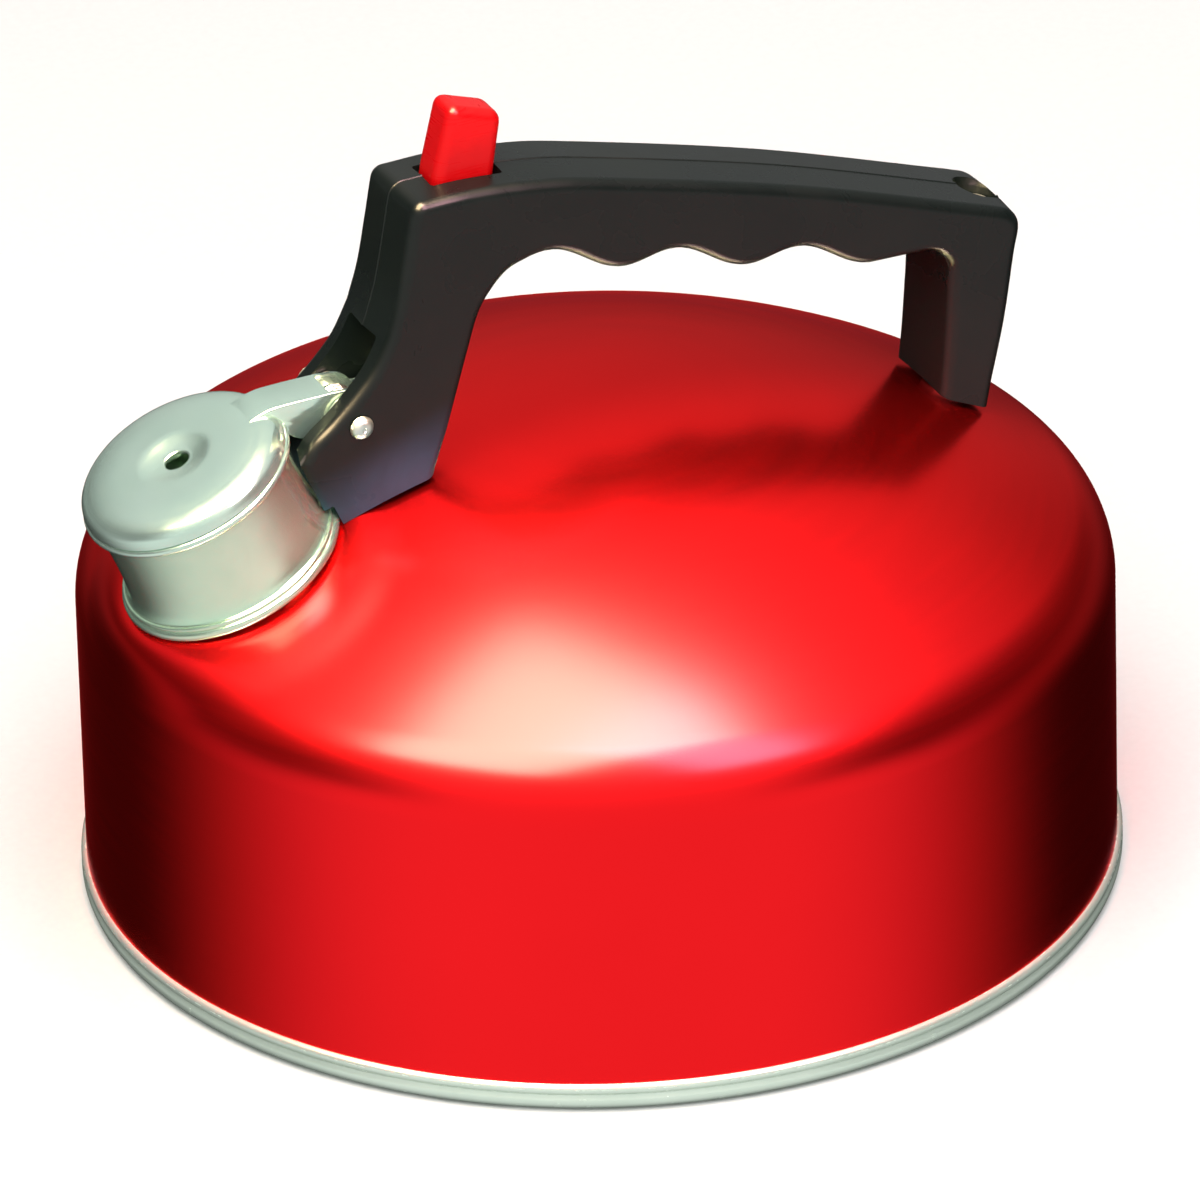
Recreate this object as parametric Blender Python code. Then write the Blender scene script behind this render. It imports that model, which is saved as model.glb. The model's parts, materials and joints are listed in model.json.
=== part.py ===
"""Stovetop whistling kettle: domed body, side spout with a hinged whistle cap, handle with a push button.

Lengths are in millimetres until a mesh is made, which turns them to metres. +Z is up, the spout
points to -X, and the origin is the centre of the flat base. XZ is the kettle's plane of symmetry.
"""

import math

import bmesh
import bpy
from mathutils import Matrix, Vector

# Driving dimensions, in millimetres and degrees
MM = 0.001
GAP = 0.3  # clearance between touching pieces
BASE_RADIUS = 100.0
WALL_RADIUS = 99.0
SHEET = 0.8  # sheet thickness of body, base and cap
SEAM_TOP = 5.6
SHOULDER_Z = 59.2  # where the upright wall starts to turn in
SHOULDER_RADIUS = 16.3
SHOULDER_TURN = 59.0
BODY_SIDES = 64
ROUND_SIDES = 40

SPOUT_FOOT = Vector((-75.4, 0.0, 83.1))  # centre of the spout's rolled flange
SPOUT_LEAN = 24.0
SPOUT_BORE = 18.6
SPOUT_TOP = 22.4  # height of the spout's mouth along its own axis
FLANGE_RADIUS = 22.2
FLANGE_UNDER = -1.2  # underside of the flange, along the spout's axis
SEAT_BLEND = 7.2  # width over which the pressed seat runs out into the dome

PIVOT = Vector((-52.3, 0.0, 109.5))  # hinge axis of the whistle cap, along Y
CAP_SWING = 32.0
EAR_OUT = 4.4  # half width of the cap's forked arm
EAR_SHEET = 0.9
TAIL_LENGTH = 13.0  # pivot to the rolled lip that the push rod presses
TAIL_LIP = 2.2
PIVOT_SHANK = 1.5

SLIDE_LEAN = 10.0  # the button slides down and forward, this far from upright
BUTTON_FOOT = Vector((-26.4, 0.0, 152.9))  # button's centre at the handle's top surface
BUTTON_TRAVEL = 2.0 * TAIL_LENGTH * math.sin(math.radians(CAP_SWING / 2))

HANDLE_HALF = 10.5
HANDLE_EDGE = 2.2  # rounding of the handle's long edges
SLOT_HALF = 5.9  # half width of the slot in the front leg
SLOT_ROOF = 125.0
FOOT_LIFT = 1.2  # the handle's feet stop this far above the dome
SCALLOP_PITCH = 25.8
SCALLOP_DEPTH = 1.9

BRACKET_OUT = 5.6
BRACKET_SHEET = 0.85
BRACKET_X = (-51.0, -39.6)
BRACKET_LIFT = 0.8  # the bracket's floor clears the edge of the spout's seat
RIVET_X = (-48.0, -42.0)
RIVET_SHANK = 1.6

ROD_HALF = 0.9  # half thickness of the push rod's strip
ROD_JOGGLE = -19.0  # where the push rod turns forward, along the button's slide
BUTTON_GUIDE = 4.5  # depth of the guide block under the button

SCREW_LEAN = 10.0
SCREW_FOOT = Vector((75.0, 0.0, 81.8))  # where the screw's axis meets the dome
SCREW_SEAT = 35.5  # floor of the screw's recess, along the screw's axis
SCREW_SHANK = 2.0
SCREW_HEAD = 3.8
RECESS_RADIUS = 4.8
BOSS_RADIUS = 4.5
BOSS_TOP = 12.0
SPIGOT_RADIUS = 2.8  # the boss's spigot through the dome


# Colours and finishes


def finish(name, colour, roughness, metallic=0.0):
    """A Principled material with one plain colour, given as linear RGB."""
    material = bpy.data.materials.new(name)
    material.use_nodes = True
    shader = material.node_tree.nodes["Principled BSDF"]
    shader.inputs["Base Color"].default_value = (*colour, 1.0)
    shader.inputs["Roughness"].default_value = roughness
    shader.inputs["Metallic"].default_value = metallic
    material.diffuse_color = (*colour, 1.0)
    return material


# Curves and outlines


def arc(centre, radius, start, stop, steps):
    """Points on an arc, from one angle in degrees to another, both ends included."""
    angles = [math.radians(start + (stop - start) * k / steps) for k in range(steps + 1)]
    return [(centre[0] + radius * math.cos(a), centre[1] + radius * math.sin(a)) for a in angles]


def smooth(points, steps):
    """A smooth curve through every point (Catmull-Rom), with straight-running ends."""
    ends = [
        tuple(2 * a - b for a, b in zip(points[0], points[1])),
        *points,
        tuple(2 * a - b for a, b in zip(points[-1], points[-2])),
    ]
    curve = []
    for before, start, stop, after in zip(ends, ends[1:], ends[2:], ends[3:]):
        for k in range(steps):
            t = k / steps
            curve.append(
                tuple(
                    0.5 * (2 * b + (c - a) * t + (2 * a - 5 * b + 4 * c - d) * t * t
                           + (3 * b - a - 3 * c + d) * t ** 3)
                    for a, b, c, d in zip(before, start, stop, after)
                )
            )
    return curve + [points[-1]]


def dome_radius():
    """Radius of the dome's sphere, which carries on from the shoulder at the same slope."""
    edge = WALL_RADIUS - SHOULDER_RADIUS * (1 - math.cos(math.radians(SHOULDER_TURN)))
    return edge / math.sin(math.radians(90 - SHOULDER_TURN))


def dome_centre():
    """Height of the dome sphere's centre."""
    turn = math.radians(SHOULDER_TURN)
    edge_z = SHOULDER_Z + SHOULDER_RADIUS * math.sin(turn)
    return edge_z - dome_radius() * math.sin(turn)


def dome_height(radius):
    """Height of the dome's outer face at a distance from the kettle's axis."""
    return dome_centre() + math.sqrt(dome_radius() ** 2 - radius ** 2)


def body_profile(inset):
    """Outer line of the body from the apex down to the seam, moved inwards by inset."""
    ball = dome_radius() - inset
    turned = (WALL_RADIUS - SHOULDER_RADIUS, SHOULDER_Z)
    dome = arc((0.0, dome_centre()), ball, 90, SHOULDER_TURN, 9)
    shoulder = arc(turned, SHOULDER_RADIUS - inset, SHOULDER_TURN, 0, 5)
    return dome + shoulder[1:] + [(WALL_RADIUS - inset, 1.0 + SHEET)]


# Meshes


def new_object(name, points, faces, material, sharp=40.0):
    """A closed mesh from points in millimetres, with its faces turned outwards and shaded smooth."""
    mesh = bpy.data.meshes.new(name)
    mesh.from_pydata([Vector(p) * MM for p in points], [], faces)
    work = bmesh.new()
    work.from_mesh(mesh)
    bmesh.ops.recalc_face_normals(work, faces=work.faces)
    work.to_mesh(mesh)
    work.free()
    mesh.materials.append(material)
    mesh.shade_smooth()
    mesh.set_sharp_from_angle(angle=math.radians(sharp))
    made = bpy.data.objects.new(name, mesh)
    bpy.context.scene.collection.objects.link(made)
    return made


def lathe(name, profile, material, sides=ROUND_SIDES, bend=None):
    """Turns a closed (radius, height) outline round Z. bend(point, outline index) may move each point."""
    points, rings = [], []
    for index, (radius, height) in enumerate(profile):
        count = 1 if radius < 1e-6 else sides
        rings.append([len(points) + k for k in range(count)])
        for k in range(count):
            angle = 2 * math.pi * k / sides
            point = Vector((radius * math.cos(angle), radius * math.sin(angle), height))
            points.append(bend(point, index) if bend else point)
    faces = []
    for ring, after in zip(rings, rings[1:] + rings[:1]):
        for k in range(sides):
            corners = [ring[k % len(ring)], ring[(k + 1) % len(ring)]]
            corners += [after[(k + 1) % len(after)], after[k % len(after)]]
            corners = list(dict.fromkeys(corners))
            if len(corners) > 2:
                faces.append(corners)
    return new_object(name, points, faces, material)


def prism(name, outline, low, high, material):
    """An outline in the XZ plane, extruded along Y from low to high."""
    count = len(outline)
    points = [(x, y, z) for y in (low, high) for x, z in outline]
    sides = [(k, (k + 1) % count, (k + 1) % count + count, k + count) for k in range(count)]
    faces = sides + [tuple(range(count)), tuple(range(count, 2 * count))]
    return new_object(name, points, faces, material)


def rod(name, radius, low, high, material, sides=16):
    """A plain cylinder along Z."""
    return lathe(name, [(0, low), (radius, low), (radius, high), (0, high)], material, sides)


def block(name, size, centre, material):
    """A box with its size and centre in millimetres."""
    (length, width, height), (x, y, z) = size, centre
    left, right = x - length / 2, x + length / 2
    low, high = z - height / 2, z + height / 2
    outline = [(left, low), (right, low), (right, high), (left, high)]
    return prism(name, outline, y - width / 2, y + width / 2, material)


def tube(name, path, radius, sides, material):
    """A round wire along a path of points, with flat ends."""
    points, faces = [], []
    for k, here in enumerate(path):
        ahead = (path[min(k + 1, len(path) - 1)] - path[max(k - 1, 0)]).normalized()
        across = ahead.cross(Vector((0.0, 1.0, 0.0))).normalized()
        up = across.cross(ahead)
        for j in range(sides):
            angle = 2 * math.pi * j / sides
            points.append(here + radius * (across * math.cos(angle) + up * math.sin(angle)))
        if k:
            first = (k - 1) * sides
            for j in range(sides):
                after = (j + 1) % sides
                faces.append((first + j, first + after, first + sides + after, first + sides + j))
    last = (len(path) - 1) * sides
    faces += [tuple(range(sides)), tuple(range(last, last + sides))]
    return new_object(name, points, faces, material)


def move(piece, matrix):
    """Moves a piece's mesh by a matrix in millimetres."""
    matrix = matrix.copy()
    matrix.translation *= MM
    piece.data.transform(matrix)
    return piece


def frame_at(place, lean):
    """Matrix that stands Z at a place, leaning from upright towards +X by an angle."""
    return Matrix.Translation(place) @ Matrix.Rotation(math.radians(lean), 4, "Y")


def along_y(place):
    """Matrix that lays Z along +Y at a place."""
    return Matrix.Translation(place) @ Matrix.Rotation(math.radians(-90), 4, "X")


def hide(*tools):
    """Marks cutters and guides, which aren't pieces of the kettle."""
    for tool in tools:
        tool.hide_render = True
        tool.display_type = "WIRE"
    return tools


def combine(piece, tool, operation):
    """Adds an exact Boolean with a hidden tool."""
    hide(tool)
    change = piece.modifiers.new(tool.name, "BOOLEAN")
    change.operation = operation
    change.solver = "EXACT"
    change.object = tool
    return piece


def cut(piece, *tools):
    for tool in tools:
        combine(piece, tool, "DIFFERENCE")
    return piece


def join(piece, *tools):
    for tool in tools:
        combine(piece, tool, "UNION")
    return piece


def hinge_origin(piece, place):
    """Puts a piece's origin on its joint's axis and leaves its shape where it is."""
    piece.data.transform(Matrix.Translation(-place * MM))
    piece.location = place * MM
    return piece


# Frames of the leaning pieces

SPOUT = frame_at(SPOUT_FOOT, -SPOUT_LEAN)
SLIDE = frame_at(BUTTON_FOOT, SLIDE_LEAN)
SCREW = frame_at(SCREW_FOOT, SCREW_LEAN)
BRACKET_LEAN = -math.degrees(math.asin(-sum(BRACKET_X) / 2 / dome_radius()))
BRACKET = frame_at(
    Vector((sum(BRACKET_X) / 2, 0.0, dome_height(sum(BRACKET_X) / 2))), BRACKET_LEAN
)


def dome_block(name, lift, material):
    """Solid under the dome's outer face raised by lift, which trims what stands on the dome."""
    surface = [(r, z + lift) for r, z in body_profile(0.0)[:12]]
    low = SHOULDER_Z - 20
    return lathe(name, surface + [(surface[-1][0], low), (0.0, low)], material, BODY_SIDES)


def rivet_frame(x):
    """Frame of a rivet through bracket and dome, square to the dome under the bracket."""
    along = (x - sum(BRACKET_X) / 2) / math.cos(math.radians(BRACKET_LEAN))
    return BRACKET @ Matrix.Translation((along, 0.0, 0.0))


# Body


def body_shell(paint):
    """One drawn shell: upright wall, shoulder and dome, with a seat pressed flat for the spout."""
    outer, inner = body_profile(0.0), body_profile(SHEET)
    lean = SPOUT.to_3x3() @ Vector((0.0, 0.0, 1.0))
    reach = FLANGE_RADIUS + 1.4

    def press_seat(point, index):
        offset = point - SPOUT_FOOT
        height = offset.dot(lean)
        away = (offset - height * lean).length
        share = min(max((reach + SEAT_BLEND - away) / SEAT_BLEND, 0.0), 1.0)
        share = share * share * (3 - 2 * share)
        seat = FLANGE_UNDER - GAP - (0.0 if index < len(outer) else SHEET)
        return point + lean * (seat - height) * share

    shell = lathe("body_shell", outer + inner[::-1], paint, BODY_SIDES, press_seat)
    mouth = move(rod("cut_mouth", SPOUT_BORE + 1.2, -12, 8, paint, ROUND_SIDES), SPOUT)
    cut(shell, mouth)
    for number, x in enumerate(RIVET_X):
        hole = rod(f"cut_shell_rivet_{number}", RIVET_SHANK + GAP, -6, 6, paint)
        cut(shell, move(hole, rivet_frame(x)))
    cut(shell, move(rod("cut_shell_boss", SPIGOT_RADIUS + GAP, -8, 8, paint), SCREW))
    return shell


def base_pan(steel):
    """Flat base whose rim is rolled up round the foot of the shell."""
    lip = WALL_RADIUS + GAP
    inside = WALL_RADIUS - SHEET - GAP
    profile = [(0.0, 0.0), (BASE_RADIUS - 3.0, 0.0)]
    profile += arc((BASE_RADIUS - 2.4, 2.4), 2.4, -60, 0, 3)
    profile += [(BASE_RADIUS, SEAM_TOP - 0.6), (BASE_RADIUS - 0.3, SEAM_TOP), (lip, SEAM_TOP - 0.2)]
    profile += [(lip, 1.0 + SHEET - GAP), (inside, 1.0 + SHEET - GAP), (inside, SEAM_TOP - 1.4)]
    profile += [(inside - SHEET, SEAM_TOP - 1.4), (inside - SHEET - 0.6, SHEET), (0.0, SHEET)]
    return lathe("base_pan", profile, steel, BODY_SIDES)


def spout(steel):
    """Turned tube with a rolled flange on the dome and a lip spread out under it."""
    bore, top = SPOUT_BORE, SPOUT_TOP
    outside = [(bore + 0.3, top), (bore + 0.9, top - 0.2), (bore + 1.1, top - 0.8)]
    outside += [(bore + 0.9, top - 1.4), (bore + 0.9, 12.0), (bore + 1.2, 6.0), (bore + 1.7, 3.2)]
    flange = [(bore + 2.4, 1.7)] + arc((FLANGE_RADIUS - 1.2, 0.0), 1.2, 60, -90, 5)
    lip = FLANGE_UNDER - SHEET - 3 * GAP
    under = [(bore + 0.9, FLANGE_UNDER), (bore + 0.9, lip), (bore + 1.9, lip - 0.1)]
    under += [(bore + 2.1, lip - 0.5), (bore + 1.7, lip - 0.9), (bore, lip - 0.9)]
    return move(lathe("spout", outside + flange + under + [(bore, top - 0.3)], steel), SPOUT)


# Whistle cap


def ear_outline():
    """Side of the cap's forked arm: from the cap's rim, round the pivot and back to the tail."""
    x, z = PIVOT.x, PIVOT.z
    rest = math.radians(CAP_SWING / 2 - SLIDE_LEAN)
    tip = (x + TAIL_LENGTH * math.cos(rest), z + TAIL_LENGTH * math.sin(rest))
    top = [(-68.0, 114.3), (-62.0, 114.5), (-55.2, 114.6), (-53.0, 114.4)]
    over = arc((x, z), 4.9, 80, 28, 3)
    tail = [(tip[0] - 3.0, tip[1] + 1.0)] + arc(tip, 1.3, 90, -90, 4)
    tail += [(tip[0] - 3.0, tip[1] - 1.6)]
    under = arc((x, z), 4.9, -20, -110, 4)
    return top + over + tail + under + [(-58.5, 106.0), (-63.9, 107.8), (-65.6, 111.0)], tip


def whistle_cap(steel):
    """Domed cap with a rolled rim, an arm that forks round the pivot, and a tail for the push rod."""
    dimple, hole = [(4.6, 25.4), (6.6, 26.0)], 2.5
    outer = [(hole, 25.2), *dimple, (9.5, 26.0), (14.0, 25.5), (17.6, 24.6), (19.6, 23.6)]
    rim = [(20.6, 22.4), (20.9, 21.0), (21.1, 20.4), (20.9, 19.8), (20.2, 19.8), (20.1, 21.6)]
    inner = [(19.4, 22.6), (17.2, 23.8), (13.8, 24.7), (9.4, 25.2), (6.8, 25.2), (4.8, 24.6)]
    inner += [(hole, 24.4)]
    cap = move(lathe("whistle_cap", outer + rim + inner, steel), SPOUT)
    outline, tip = ear_outline()
    arm = prism("join_arm", outline, -EAR_OUT, EAR_OUT, steel)
    fork = [(-75.0, 95.0), (-75.0, 112.9), (-67.4, 113.2), (-62.0, 113.6), (-55.4, 113.7)]
    fork += [(-55.4, 120.0), (-30.0, 120.0), (-30.0, 95.0)]
    room = prism("cut_fork", fork, EAR_SHEET - EAR_OUT, EAR_OUT - EAR_SHEET, steel)
    cut(arm, room)
    width = EAR_OUT - EAR_SHEET / 2
    lip = rod("join_lip", TAIL_LIP, -width, width, steel, 14)
    move(lip, along_y(Vector((tip[0], 0.0, tip[1]))))
    join(arm, lip)
    join(cap, arm)
    cut(cap, move(rod("cut_ears", PIVOT_SHANK + GAP, -8, 8, steel, 14), along_y(PIVOT)))
    return hinge_origin(cap, PIVOT)


def whistle_plate(steel):
    """Second plate of the whistle: a shallow cup under the cap, with its own hole."""
    outside = [(2.4, 18.2), (15.4, 18.2), (16.3, 18.9), (16.9, 20.4), (17.3, 23.0)]
    inside = [(16.6, 23.2), (16.2, 20.5), (15.6, 19.4), (15.0, 18.9), (2.4, 18.9)]
    return hinge_origin(move(lathe("whistle_plate", outside + inside, steel), SPOUT), PIVOT)


def pivot_pieces(steel, spring_steel):
    """Rivet through the handle's cheeks, its washer, the cap's bush and the closing spring."""
    half, shank = HANDLE_HALF + GAP, PIVOT_SHANK
    head = [(0.0, -half - 1.4), (1.3, -half - 1.2), (2.1, -half - 0.6), (2.35, -half), (shank, -half)]
    tail = [(shank, half + 0.6 + GAP), (2.3, half + 0.6 + GAP), (2.1, half + 1.5), (0.0, half + 1.7)]
    move(lathe("pivot_rivet", head + tail, steel, 20), along_y(PIVOT))
    ring = [(shank + GAP, half), (3.2, half), (3.2, half + 0.6), (shank + GAP, half + 0.6)]
    move(lathe("pivot_washer", ring, steel, 20), along_y(PIVOT))
    width = EAR_OUT - EAR_SHEET - GAP
    bush = [(shank + GAP, -width), (2.45, -width), (2.45, width), (shank + GAP, width)]
    move(lathe("pivot_bush", bush, steel, 16), along_y(PIVOT))
    cap_spring(spring_steel)


def cap_spring(steel):
    """Torsion spring round the bush: one leg under the tail's lip, the other on the bracket's floor."""
    radius, wire, pitch, steps = 3.25, 0.4, 1.05, 14
    first, last = 28.0, 278.0 + 3 * 360.0
    count = round((last - first) * steps / 360)
    coil = []
    for k in range(count + 1):
        angle = math.radians(first + (last - first) * k / count)
        y = pitch * (k - count / 2) / steps
        coil.append(PIVOT + Vector((radius * math.cos(angle), y, radius * math.sin(angle))))
    tip = ear_outline()[1]
    low = coil[0] + Vector((7.2, 0.0, -13.4))
    high = Vector((tip[0] - 0.6, coil[-1].y, tip[1] - TAIL_LIP - GAP - wire - 0.1))
    path = [low, (low + coil[0]) / 2, *coil, (coil[-1] + high) / 2, high]
    return tube("cap_spring", path, wire, 6, steel)


# Button and push rod


def trigger_button(plastic):
    """Red push button: a tapered block with a top square to its travel and a guide block below."""
    low = -BUTTON_GUIDE
    outline = [(-6.3, low), (6.3, low), (6.3, 0.0), (5.9, 11.2), (5.4, 12.6), (4.2, 13.0)]
    outline += [(-5.2, 14.3), (-6.6, 13.9), (-7.0, 12.6), (-6.3, 0.0)]
    body = prism("trigger_button", outline, -4.2, 4.2, plastic)
    edge = body.modifiers.new("round_edges", "BEVEL")
    edge.width = 0.8 * MM
    edge.segments = 2
    edge.limit_method = "ANGLE"
    edge.angle_limit = math.radians(50)
    move(body, SLIDE)
    room = 2 * (ROD_HALF + GAP)
    socket = block("cut_socket", (room, 6 + 2 * GAP, 8), (0, 0, -3.2), plastic)
    cut(body, hinge_origin(move(socket, SLIDE), BUTTON_FOOT))
    return hinge_origin(body, BUTTON_FOOT)


def lip_in_slide():
    """Place of the tail's lip at rest, across and down the button's slide."""
    tip = ear_outline()[1]
    local = SLIDE.inverted() @ Vector((tip[0], 0.0, tip[1]))
    return local.x, local.z


def push_rod(steel):
    """Flat strip from the button down the front leg, joggled forward to a foot over the tail's lip."""
    across, down = lip_in_slide()
    floor = down + TAIL_LIP + GAP
    half, turn = ROD_HALF, ROD_JOGGLE
    front = [(-half, 0.4), (-half, turn), (across - half, turn - 7.4), (across - half, floor + 1.3)]
    foot = [(across - 2.0, floor + 1.3), (across - 2.0, floor), (across + 2.4, floor)]
    foot += [(across + 2.4, floor + 1.3), (across + half, floor + 1.3)]
    rear = [(across + half, turn - 7.0), (half, turn + 0.4), (half, 0.4)]
    strip = prism("push_rod", front + foot + rear, -3.0, 3.0, steel)
    return hinge_origin(move(strip, SLIDE), BUTTON_FOOT)


# Handle


def grip_underside(x):
    """Height of the grip's underside: a line falling to the rear with a wave for the fingers."""
    line = 134.55 - 0.228 * (x + 13.0)
    return line + SCALLOP_DEPTH * math.cos(2 * math.pi * (x + 10.9) / SCALLOP_PITCH)


def handle_outline():
    """Side view of the handle, clockwise from its front top corner."""
    top = [(-37.5, 152.9), (-27, 153.0), (-14, 151.7), (0, 148.8), (40, 137.6), (80.5, 123.6)]
    top = smooth(top, 3)
    rear = [top[-1], (84.8, 121.7), (87.0, 118.2), (85.9, 111.6), (83.7, 98.1), (80.4, 84), (78, 74)]
    rear = smooth(rear, 2)
    inner_leg = [(68.3, 76), (69.7, 87), (70.4, 94), (71.2, 104)] + arc((66.1, 111.5), 5.5, 0, 90, 4)
    grip = [(x, grip_underside(x)) for x in (56.0 - 4.0 * k for k in range(19))]
    web = [grip[-1], (-20.7, 134.2), (-24.4, 130.6), (-26.9, 126.6), (-29.1, 120), (-34, 104)]
    web = smooth(web, 2)[1:]
    foot = [(-36.7, 96.5), (-40.5, 82), (-57.1, 82), (-64.7, 103.8)]
    nose = [foot[-1], (-61.9, 107.9), (-57.6, 111.5), (-53.0, 116), (-49.4, 120.2), (-46.2, 126.2)]
    nose = smooth(nose, 2)
    front = [nose[-1], (-43.9, 133.5), (-42.0, 142.8), (-40.7, 149.6), (-39.7, 152.1)]
    front = smooth(front, 2)
    return top + rear[1:] + inner_leg + grip + web + foot + nose[1:] + front[1:]


def handle(plastic):
    """Moulded handle: grip, rear leg on a long screw, and a hollow front leg that holds the mechanism."""
    body = prism("handle", handle_outline(), -HANDLE_HALF, HANDLE_HALF, plastic)
    edge = body.modifiers.new("round_edges", "BEVEL")
    edge.width = HANDLE_EDGE * MM
    edge.segments = 2
    edge.limit_method = "ANGLE"
    edge.angle_limit = math.radians(60)
    slot = [(-80, 78), (-80, SLOT_ROOF), (-42.4, SLOT_ROOF), (-40.5, 134.8), (-28.0, 134.8)]
    slot += [(-28.6, 130), (-30.0, SLOT_ROOF), (-31.9, 120), (-34.9, 110.5), (-37.0, 103.5)]
    slot = prism("cut_slot", slot + [(-39.4, 97), (-42.5, 78)], -SLOT_HALF, SLOT_HALF, plastic)
    floor = -BUTTON_GUIDE - BUTTON_TRAVEL - 0.8
    pocket = block("cut_pocket", (14.6, 9.2, 12 - floor), (0.2, 0, (12 + floor) / 2), plastic)
    channel = block("cut_channel", (3.0, 7.0, 24), (0, 0, floor - 8), plastic)
    tube_room = move(rod("cut_tube_room", SPOUT_BORE + 2.1, 3, 40, plastic, ROUND_SIDES), SPOUT)
    flange_room = rod("cut_flange_room", FLANGE_RADIUS + 0.4, -9, 3.4, plastic, ROUND_SIDES)
    move(flange_room, SPOUT)
    boss, shank, recess = BOSS_RADIUS + GAP, SCREW_SHANK + 0.4, RECESS_RADIUS
    way = [(0, -9), (boss, -9), (boss, BOSS_TOP + GAP), (shank, BOSS_TOP + GAP)]
    way += [(shank, SCREW_SEAT), (recess, SCREW_SEAT), (recess, 60), (0, 60)]
    screw_way = move(lathe("cut_screw_way", way, plastic, 20), SCREW)
    pin_hole = move(rod("cut_pin_hole", PIVOT_SHANK + GAP, -14, 14, plastic, 14), along_y(PIVOT))
    cut(body, dome_block("cut_feet", FOOT_LIFT, plastic), slot)
    cut(body, move(pocket, SLIDE), move(channel, SLIDE), tube_room, flange_room)
    cut(body, screw_way, pin_hole)
    return body


def front_bracket(steel):
    """Folded bracket riveted to the dome: a floor with two ears that carry the pivot rivet."""
    lean = math.radians(BRACKET_LEAN)
    half = (BRACKET_X[1] - BRACKET_X[0]) / 2 / math.cos(lean)
    low = BRACKET_LIFT
    local = BRACKET.inverted() @ PIVOT
    outline = [(-half, low), (half, low), (half, low + 3.0)]
    outline += arc((local.x, local.z), 4.3, 0, 180, 8) + [(-half, low + 3.0)]
    floor = move(prism("front_bracket", outline, -BRACKET_OUT, BRACKET_OUT, steel), BRACKET)
    inside = 2 * (BRACKET_OUT - BRACKET_SHEET)
    cut(floor, move(block("cut_bracket_room", (60, inside, 40), (0, 0, low + 21.0), steel), BRACKET))
    cut(floor, move(rod("cut_bracket_pin", PIVOT_SHANK + GAP, -9, 9, steel, 14), along_y(PIVOT)))
    for number, x in enumerate(RIVET_X):
        hole = rod(f"cut_bracket_rivet_{number}", RIVET_SHANK + GAP, -4, 4, steel, 14)
        cut(floor, move(hole, rivet_frame(x)))
    return floor


def bracket_rivets(steel):
    """Two solid rivets that clinch the bracket to the dome, with flat heads inside the kettle."""
    for name, x in zip(("bracket_rivet_front", "bracket_rivet_rear"), RIVET_X):
        inside = -SHEET - GAP - 0.3
        top = BRACKET_LIFT + 1.0 + GAP
        profile = [(0.0, inside - 1.0), (2.4, inside - 1.0), (2.6, inside - 0.6), (2.6, inside)]
        profile += [(RIVET_SHANK, inside), (RIVET_SHANK, top), (2.5, top), (2.3, top + 0.7)]
        profile += [(1.5, top + 1.2), (0.0, top + 1.3)]
        move(lathe(name, profile, steel, 16), rivet_frame(x))


# Rear fixing


def rear_boss(steel):
    """Threaded boss on the dome, with a spigot through the sheet that is clinched inside the kettle."""
    hole = SCREW_SHANK + GAP
    body = [(0.0, -8.0), (BOSS_RADIUS, -8.0), (BOSS_RADIUS, BOSS_TOP), (hole, BOSS_TOP)]
    body += [(hole, 3.5), (0.0, 3.5)]
    boss = move(lathe("rear_boss", body, steel, 20), SCREW)
    cut(boss, dome_block("cut_boss_foot", GAP, steel))
    neck = SPIGOT_RADIUS
    spigot = [(0.0, -3.6), (3.9, -3.6), (4.1, -3.2), (4.1, -2.6), (neck, -2.6), (neck, 2.8), (0.0, 2.8)]
    join(boss, move(lathe("join_spigot", spigot, steel, 20), SCREW))
    return boss


def rear_screw(steel):
    """Long pan-head screw down the rear leg into the boss, and its washer."""
    seat = SCREW_SEAT + GAP
    top = seat + 0.8 + GAP
    head = [(SCREW_HEAD, top), (SCREW_HEAD, top + 1.2), (2.9, top + 2.1), (0.0, top + 2.4)]
    profile = [(0.0, 4.2), (SCREW_SHANK - 0.4, 4.2), (SCREW_SHANK, 4.8), (SCREW_SHANK, top), *head]
    screw = lathe("rear_screw", profile, steel, 20)
    cross = [
        block(f"cut_cross_{number}", size, (0, 0, top + 2.4), steel)
        for number, size in enumerate(((3.6, 0.9, 2.4), (0.9, 3.6, 2.4)))
    ]
    move(screw, SCREW)
    cut(screw, *[move(slot, SCREW) for slot in cross])
    hole = SCREW_SHANK + GAP
    ring = [(hole, seat), (4.3, seat), (4.3, seat + 0.8), (hole, seat + 0.8)]
    move(lathe("rear_washer", ring, steel, 20), SCREW)
    return screw


def build():
    for old in list(bpy.data.objects):
        bpy.data.objects.remove(old, do_unlink=True)
    paint = finish("red_lacquer", (0.78, 0.01, 0.012), 0.18)
    steel = finish("polished_steel", (0.72, 0.74, 0.71), 0.22, 1.0)
    zinc = finish("zinc_plated_steel", (0.6, 0.6, 0.58), 0.35, 1.0)
    spring_steel = finish("spring_steel", (0.35, 0.35, 0.36), 0.35, 1.0)
    black = finish("black_moulding", (0.012, 0.012, 0.011), 0.3)
    red = finish("red_moulding", (0.85, 0.006, 0.01), 0.28)
    body_shell(paint)
    base_pan(steel)
    spout(steel)
    whistle_cap(steel)
    whistle_plate(steel)
    pivot_pieces(zinc, spring_steel)
    trigger_button(red)
    push_rod(zinc)
    handle(black)
    front_bracket(zinc)
    bracket_rivets(zinc)
    rear_boss(zinc)
    rear_screw(zinc)


build()
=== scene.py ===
import json
import math

import bmesh
import bpy
from mathutils import Matrix, Vector


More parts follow.
